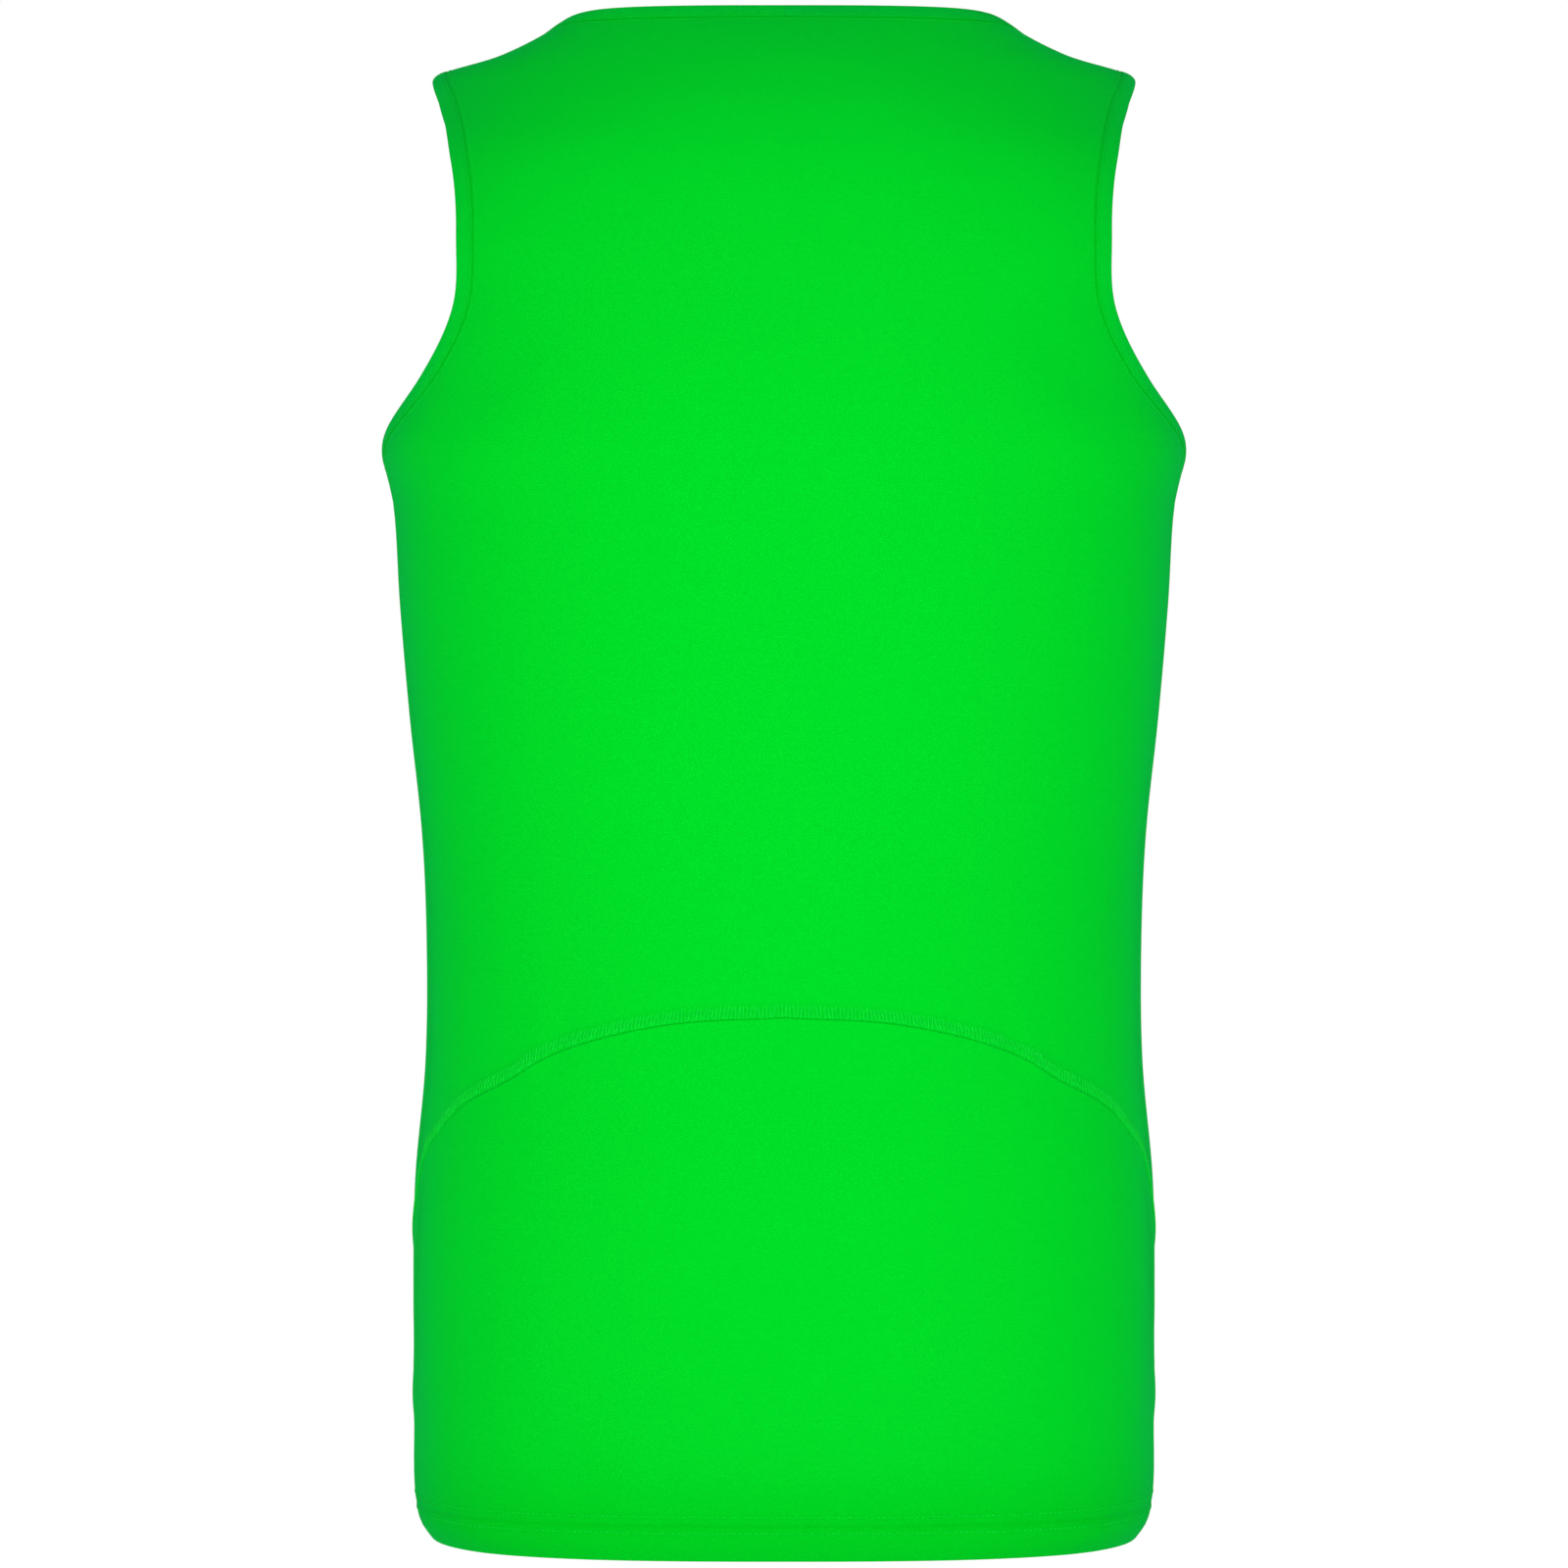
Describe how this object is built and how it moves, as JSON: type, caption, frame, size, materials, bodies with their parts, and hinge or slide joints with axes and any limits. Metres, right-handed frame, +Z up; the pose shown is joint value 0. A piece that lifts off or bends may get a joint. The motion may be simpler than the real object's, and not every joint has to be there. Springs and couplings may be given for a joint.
{
  "type": "sports tank top",
  "caption": "Sleeveless sports tank top in thin knit, hollow as when worn, open at the neck, armholes and hem.",
  "frame": {"origin": "between the wearer's shoulders, level with the inner half of the two shoulder seams, 691 mm above the hem", "axes": "+Z up, +Y towards the wearer's back, +X towards the wearer's left"},
  "size_m": [0.3752, 0.2321, 0.7075],
  "materials": {
    "body_knit": "fine smooth polyester knit, bright green, matt with a faint sheen",
    "binding_knit": "folded knit tape, bright green, slightly darker than the panels"
  },
  "bodies": {
    "root": {"back_upper": "body_knit", "back_lower": "body_knit", "front": "body_knit", "neck_binding": "binding_knit", "armhole_binding_left": "binding_knit", "armhole_binding_right": "binding_knit"}
  },
  "joints": []
}
